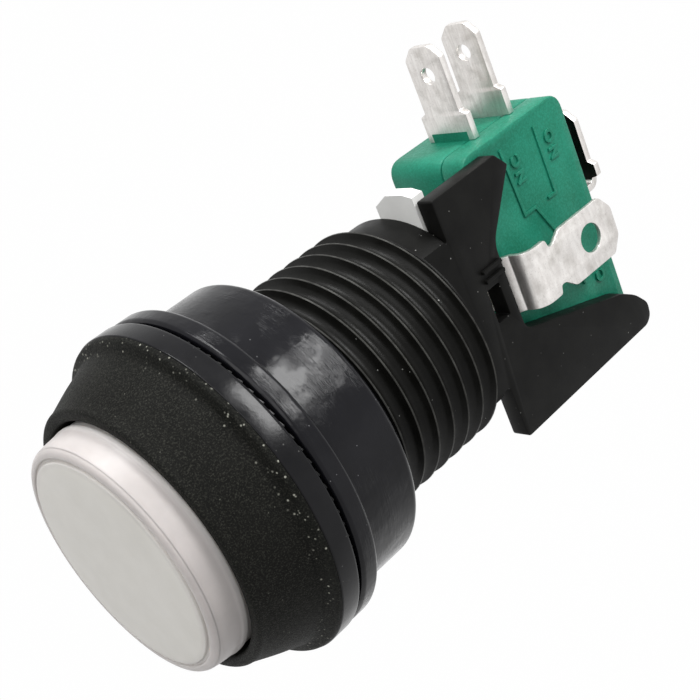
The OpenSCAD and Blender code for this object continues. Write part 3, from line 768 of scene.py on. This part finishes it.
cap = lathe(rounded([
    (0.0, 11.74), (6.0, 11.68), (9.9, 11.60), (10.28, 11.55, 0.1), (10.36, 11.28, 0.06), (10.56, 11.28, 0.06),
    (10.66, 11.50, 0.14), (11.30, 11.38, 0.4), (11.52, 10.7, 0.4), (11.72, 8.95, 0.15), (11.80, 8.75, 0.1),
    (11.80, 8.3, 0.1), (11.68, 8.1, 0.1), (11.68, 5.1, 0.1), (10.32, 5.1), (10.32, 9.9), (0.0, 9.9)
], 6), 224)
show("lens", cap, FROSTED, "button", ["lens_cap"], 40)


# Microswitch

outer = block(SWITCH_LOW, SWITCH_HIGH, 1.9)
inner = block((SWITCH_LOW[0] + 1.4, SWITCH_LOW[1] + 1.4), (SWITCH_HIGH[0] - 1.4, SWITCH_HIGH[1] - 1.4), 0.6)
holes = [circle(p, HOLE_R) for p in (HOLE_A, HOLE_B)]
bosses = [circle(p, HOLE_R + 0.4) for p in (HOLE_A, HOLE_B)]


def switch_slots():
    slots = [plate([block((-SLOT_HALF, z - 0.42), (SLOT_HALF, z + 0.42))], 10.2, 14.2, 0.0, "XZ")
             for z in (NC_Z, NO_Z)]
    slots.append(plate([block((-SLOT_HALF, 0.24), (SLOT_HALF, 1.08))], -52.0, -47.5, 0.0, "XY"))
    return slots


pin_hole = plate([circle((0.0, -6.54), 1.58)], -37.5, -34.0, 0.0, "XY")
case = cut_away(plate([outer, *holes], -SWITCH_X, PART_X - 0.01, 0.3),
                plate([inner, *bosses], -SWITCH_X + CASE_WALL, PART_X + 1.0, 0.0), *switch_slots(), pin_hole)
show("switch_case_half", case, GREEN, "frame", ["switch_case"])
cover = cut_away(plate([outer, *holes], PART_X + 0.01, SWITCH_X, 0.3),
                 plate([inner, *bosses], PART_X - 1.0, SWITCH_X - CASE_WALL, 0.0), *switch_slots())


def lettering(words, centre, size):
    """Raised letters on the broad face of the cover; they read along Y with their tops towards Z."""
    font = bpy.data.curves.new("letters", "FONT")
    font.body = words
    font.size = size
    font.align_x = "CENTER"
    font.align_y = "CENTER"
    font.extrude = 0.11
    font.bevel_depth = 0.04
    font.offset = 0.045
    font.space_character = 1.45
    thing = bpy.data.objects.new("letters", font)
    bpy.context.scene.collection.objects.link(thing)
    mesh = plain_mesh(thing)
    for vert in mesh.vertices:
        a, b, c = vert.co
        vert.co = Vector((SWITCH_X + 0.05 + c, centre[0] + a, centre[1] + b)) * MM
    return mesh


def stroke(path):
    """A raised line of one width along a path on the broad face of the cover."""
    points = [Vector(p) for p in path]
    sides = ([], [])
    for i, point in enumerate(points):
        before = (point - points[i - 1]).normalized() if i else (points[1] - point).normalized()
        after = (points[i + 1] - point).normalized() if i + 1 < len(points) else before
        along = (before + after).normalized()
        across = Vector((-along.y, along.x)) * LINE_WIDTH / 2 / along.dot(before)
        end = along * LINE_WIDTH / 2 * (1 if i + 1 == len(points) else -1 if i == 0 else 0)
        sides[0].append((point + across + end)[:])
        sides[1].insert(0, (point - across + end)[:])
    return plate([sides[0] + sides[1]], SWITCH_X - 0.1, SWITCH_X + 0.18, 0.05)


marks = [lettering("NC", (8.9, -42.0), 1.7), lettering("NO", (8.97, -47.6), 1.7),
         lettering("C", (-6.67, -48.2), 1.7)]
lines = [[(11.55, -40.4), (4.44, -40.75), (4.44, -42.5), (0.96, -44.09), (-6.0, -45.6)],
         [(11.54, -45.86), (4.35, -45.86), (4.35, -44.75)]]
show("switch_cover_half", joined(cover, *marks, *(stroke(line) for line in lines)), GREEN, "frame",
     ["switch_cover"])

end_loop = rounded([
    (-TAB_HALF, 6.6), (-TAB_HALF, 13.27), (-SHOULDER_HALF, 13.27, 0.1), (-SHOULDER_HALF, 16.05, 0.15),
    (-TAB_HALF, 16.4, 0.12),
    (-TAB_HALF, 22.06, 0.25), (-1.2, 23.26, 0.25), (1.2, 23.26, 0.25), (TAB_HALF, 22.06, 0.25),
    (TAB_HALF, 16.4, 0.12),
    (SHOULDER_HALF, 16.05, 0.15), (SHOULDER_HALF, 13.27, 0.1), (TAB_HALF, 13.27), (TAB_HALF, 6.6)])
for name, z in (("nc", NC_Z), ("no", NO_Z)):
    tab = plate([end_loop, circle((0.0, 20.26), TAB_HOLE_R)], z - TAB_T / 2, z + TAB_T / 2, 0.1, "XY")
    show(f"{name}_tab", tab, TINNED, "frame", [f"{name}_terminal"])

com_loop = rounded([
    (0.0, -TAB_HALF), (9.9, -TAB_HALF), (10.2, -SHOULDER_HALF, 0.12), (11.55, -SHOULDER_HALF, 0.15),
    (11.9, -TAB_HALF, 0.12),
    (16.61, -TAB_HALF, 0.25), (17.81, -1.17, 0.25), (17.81, 1.17, 0.25), (16.61, TAB_HALF, 0.25),
    (11.9, TAB_HALF, 0.12), (11.55, SHOULDER_HALF, 0.15), (10.2, SHOULDER_HALF, 0.12),
    (9.9, TAB_HALF), (0.0, TAB_HALF)])
com_leg = bent([com_loop, circle((14.84, 0.0), TAB_HOLE_R)], TAB_T, 0.1, (0.66, -45.7), -math.pi / 2,
               [("go", 8.7), ("turn", 0.9, 90), ("go", 20.0)], lambda a, b, c: (c, a, b))
com_plate = plate([block((-TAB_HALF, -12.6), (TAB_HALF, 1.06), 0.1)], -45.66, -44.86, 0.05, "XY")
com_post = plate([block((-TAB_HALF, -12.6), (TAB_HALF, -11.8), 0.1)], -45.0, -43.03, 0.05, "XY")
show("com_tab", joined(com_leg, com_plate, com_post), TINNED_WITH_PAINTED_SHADE, "frame", ["com_terminal"])


# Lamp tabs

ear, throat, tip = 29.4, 31.7, 39.45
lamp_loop = rounded([
    (0.0, -2.75), (22.5, -2.75, 0.2), (22.9, -3.35, 0.2), (ear, -3.35, 0.3), (ear + 0.25, -2.45, 0.25),
    (ear + 0.9, -2.45, 0.3), (throat, -3.6, 0.35), (tip - 1.28, -3.6, 0.35), (tip, -1.98, 0.35),
    (tip, 1.1, 0.35), (tip - 1.28, 2.75, 0.35), (throat, 2.75, 0.35), (ear + 0.9, 1.8, 0.3),
    (ear + 0.25, 1.8, 0.25), (ear, 2.75, 0.3), (0.0, 2.75)])
lamp_runs = [("go", 19.85), ("turn", 0.75, 90), ("go", 2.04), ("turn", 0.6, -45), ("go", 1.5),
             ("turn", 0.6, 45), ("turn", 1.65, -88), ("go", 40.0)]
for name, side in (("near", 1), ("far", -1)):
    strip = bent([lamp_loop, circle((tip - 3.96, -0.35), LAMP_HOLE_R)], 0.5, 0.07, (1.91, -13.8), -math.pi / 2,
                 lamp_runs, lambda a, b, c, s=side: (s * a, c, b))
    show(f"lamp_tab_{name}", strip, TINNED, "frame", [f"lamp_terminal_{name}"])


# CAD nodes that stay get their finishes.
finishes = {
    "diffuser": WHITE, "plunger": WHITE, "return_spring": SPRING, "lamp_holder": WHITE, "lamp_base": WHITE,
    "lamp_dome": LAMP_RESIN, "lamp_lead_near": TINNED, "lamp_lead_far": TINNED, "switch_pin": BLACK_PIN,
    "contact_blade": BRONZE, "moving_contact": SILVER, "snap_spring": BRONZE, "nc_contact": SILVER,
    "no_contact": SILVER,
}
for name, material in finishes.items():
    for place in frame["nodes"][name].material_slots:
        place.material = material


# Floor, light and camera

def path_mask(tree):
    """1 for camera, glossy and transmission rays."""
    rays = tree.nodes.new("ShaderNodeLightPath")
    first = maths(tree, "MAXIMUM", rays.outputs["Is Camera Ray"], rays.outputs["Is Glossy Ray"])
    return maths(tree, "MAXIMUM", first, rays.outputs["Is Transmission Ray"])


def white_floor():
    material = bpy.data.materials.new("pale_floor")
    material.use_nodes = True
    tree = material.node_tree
    shader = next(n for n in tree.nodes if n.type == "BSDF_PRINCIPLED")
    shader.inputs["Base Color"].default_value = (0.9, 0.9, 0.9, 1.0)
    shader.inputs["Roughness"].default_value = 0.9
    out = next(n for n in tree.nodes if n.type == "OUTPUT_MATERIAL")
    glow = shader_node(tree, "ShaderNodeEmission", None, {"Color": (1, 1, 1, 1), "Strength": 1.0})
    mixed = shader_node(tree, "ShaderNodeMixShader", None, {
        0: maths(tree, "MULTIPLY", path_mask(tree), 0.99), 1: shader.outputs[0], 2: glow.outputs[0]})
    tree.links.new(mixed.outputs[0], out.inputs["Surface"])
    return material


floor_mesh = bpy.data.meshes.new("floor")
floor_mesh.from_pydata([(x, y, FLOOR_Z) for x, y in ((-5, -5), (5, -5), (5, 5), (-5, 5))], [], [(0, 1, 2, 3)])
floor_mesh.materials.append(white_floor())
floor = bpy.data.objects.new("floor", floor_mesh)
bpy.context.scene.collection.objects.link(floor)

world = bpy.data.worlds.new("studio")
bpy.context.scene.world = world
world.use_nodes = True
world_tree = world.node_tree
background = next(n for n in world_tree.nodes if n.type == "BACKGROUND")
background.inputs["Color"].default_value = (1, 1, 1, 1)
world_tree.links.new(spread(world_tree, path_mask(world_tree), 0.0, 1.0, 0.45, 1.0),
                     background.inputs["Strength"])

RIGHT = Vector((0.6501, -0.3689, -0.6643))
UP = Vector((-0.0613, 0.8459, -0.5297))
BACK = Vector((0.7574, 0.3851, 0.5274))
CENTRE = Vector((0.0, 0.0, -0.020))


def softbox(name, across, up, back, size, power, along=UP):
    """A lamp placed by how far it is to the right of, above and in front of the object in the picture."""
    light = bpy.data.lights.new(name, "AREA")
    light.shape = "RECTANGLE"
    light.size, light.size_y = size
    light.energy = power
    lamp = bpy.data.objects.new(name, light)
    place = CENTRE + RIGHT * across + UP * up + BACK * back
    away = (place - CENTRE).normalized()
    first = (along - away * along.dot(away)).normalized()
    turn = Matrix((first, away.cross(first), away)).transposed().to_4x4()
    lamp.matrix_world = Matrix.Translation(place) @ turn
    bpy.context.scene.collection.objects.link(lamp)


softbox("key_above", 0.27, 0.46, 0.25, (0.34, 0.12), 3.0, Vector((0.76, -0.65, 0.0)))
softbox("front_fill", -0.35, 0.15, 0.65, (0.6, 0.6), 3.4)
softbox("top_light", -0.26, 0.51, 0.19, (0.25, 0.25), 2.6)
softbox("side_fill", 0.6, -0.1, 0.3, (0.5, 0.5), 0.2)

camera = bpy.data.cameras.new("camera")
camera.sensor_width = 36.0
camera.lens = 67.27
camera.clip_start = 0.005
viewer = bpy.data.objects.new("camera", camera)
view_turn = Matrix((RIGHT, UP, BACK)).transposed().to_4x4()
viewer.matrix_world = Matrix.Translation((0.09303, 0.04953, 0.04632)) @ view_turn
bpy.context.scene.collection.objects.link(viewer)
bpy.context.scene.camera = viewer
bpy.context.scene.view_settings.view_transform = "Standard"
